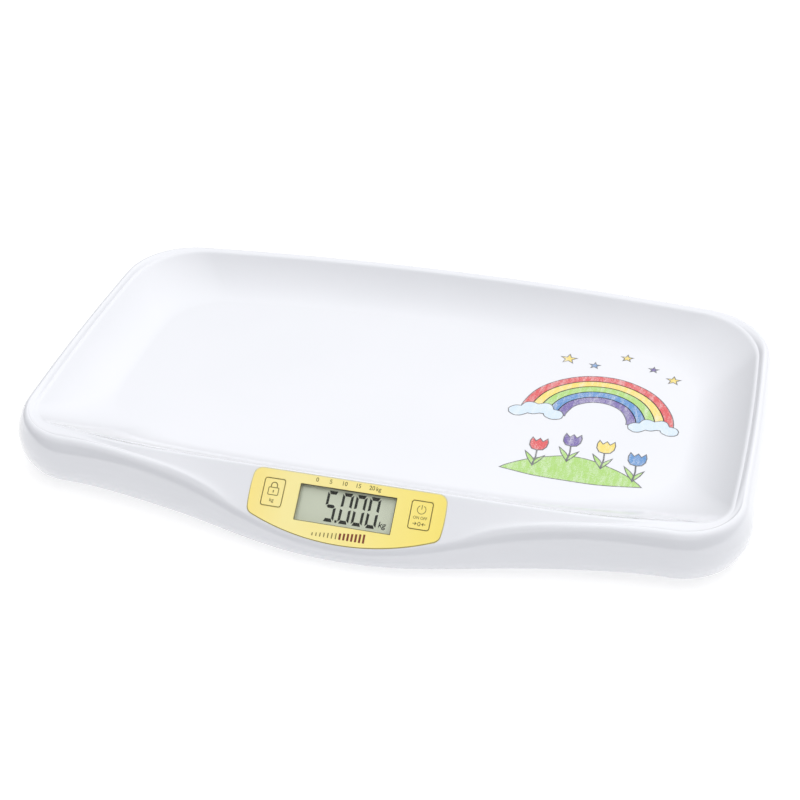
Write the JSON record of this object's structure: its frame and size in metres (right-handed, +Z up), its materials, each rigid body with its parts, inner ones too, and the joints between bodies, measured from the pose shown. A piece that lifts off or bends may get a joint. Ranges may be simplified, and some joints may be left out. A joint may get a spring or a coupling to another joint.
{
  "type": "baby weighing scale",
  "caption": "Flat digital baby scale: a shallow dished tray with a bulging front nose that carries a sloping yellow facia, a display window and keys, on low feet.",
  "frame": {"origin": "on the table, under the middle of the scale's bounding box", "axes": "+X along the tray to the right of someone reading the display, +Y to the rear, away from the display, +Z up"},
  "size_m": [0.5598, 0.3499, 0.0502],
  "materials": {
    "body_white": "glossy injection-moulded, near white",
    "cover_white": "fine matt moulded",
    "facia_yellow": "printed film, pale yellow to full yellow",
    "key_yellow": "smooth, slightly glossy, the yellow of the facia",
    "clear_window": "clear polished",
    "display_glass": "grey-green liquid-crystal glass",
    "inner_plastic": "moulded, black",
    "soft_strip": "elastomer",
    "board_green": "solder mask",
    "black_resin": "potted",
    "header_white": "moulded",
    "zinc_steel": "zinc plated",
    "cell_steel": "stamped, nickel plated",
    "pad_rubber": "matt",
    "battery_case": "printed sleeve",
    "contact_nickel": "nickel plated",
    "lead_white": "soft insulation",
    "lead_red": "soft insulation",
    "lead_black": "soft insulation"
  },
  "bodies": {
    "scale": {"base_cover": "cover_white", "base_screws": "zinc_steel", "battery_cell_front_first": "battery_case", "battery_cell_front_second": "battery_case", "battery_cell_rear_first": "battery_case", "battery_cell_rear_second": "battery_case", "battery_lead_negative": "lead_black", "battery_lead_positive": "lead_red", "board_screws": "zinc_steel", "cell_lead_front_left": "lead_white", "cell_lead_front_right": "lead_white", "cell_lead_rear_left": "lead_white", "cell_lead_rear_right": "lead_white", "cell_retainer_front_left": "inner_plastic", "cell_retainer_front_right": "inner_plastic", "cell_retainer_rear_left": "inner_plastic", "cell_retainer_rear_right": "inner_plastic", "contact_bridge": "contact_nickel", "contact_negative": "contact_nickel", "contact_positive": "contact_nickel", "controller_chip": "black_resin", "foot_cup_front_left": "cover_white", "foot_cup_front_right": "cover_white", "foot_cup_rear_left": "cover_white", "foot_cup_rear_right": "cover_white", "foot_pad_front_left": "pad_rubber", "foot_pad_front_right": "pad_rubber", "foot_pad_rear_left": "pad_rubber", "foot_pad_rear_right": "pad_rubber", "hold_switch": "black_resin", "lcd_frame": "inner_plastic", "lcd_glass": "display_glass", "lcd_window": "clear_window", "left_cell_header": "header_white", "load_cell_front_left": "cell_steel", "load_cell_front_right": "cell_steel", "load_cell_rear_left": "cell_steel", "load_cell_rear_right": "cell_steel", "lower_connector_strip": "soft_strip", "main_board": "board_green", "panel_overlay": "facia_yellow", "power_switch": "black_resin", "right_cell_header": "header_white", "tray_shell": "body_white", "upper_connector_strip": "soft_strip"},
    "hold_key": {"hold_key": "key_yellow", "hold_plunger": "black_resin"},
    "power_key": {"power_key": "key_yellow", "power_plunger": "black_resin"},
    "battery_door": {"battery_door": "cover_white"}
  },
  "joints": [
    {"name": "hold_key_travel", "type": "slide", "parent": "scale", "child": "hold_key", "axis": [0, 0.6143, -0.7891], "range_m": [0, 0.0005], "stiffness_N_per_m": 800, "springref_m": -0.0005},
    {"name": "power_key_travel", "type": "slide", "parent": "scale", "child": "power_key", "axis": [0, 0.6143, -0.7891], "range_m": [0, 0.0005], "stiffness_N_per_m": 800, "springref_m": -0.0005},
    {"name": "battery_door_hinge", "type": "hinge", "parent": "scale", "child": "battery_door", "pos_m": [0, -0.1222, 0.008], "axis": [1, 0, 0], "range_deg": [0, 78]}
  ]
}
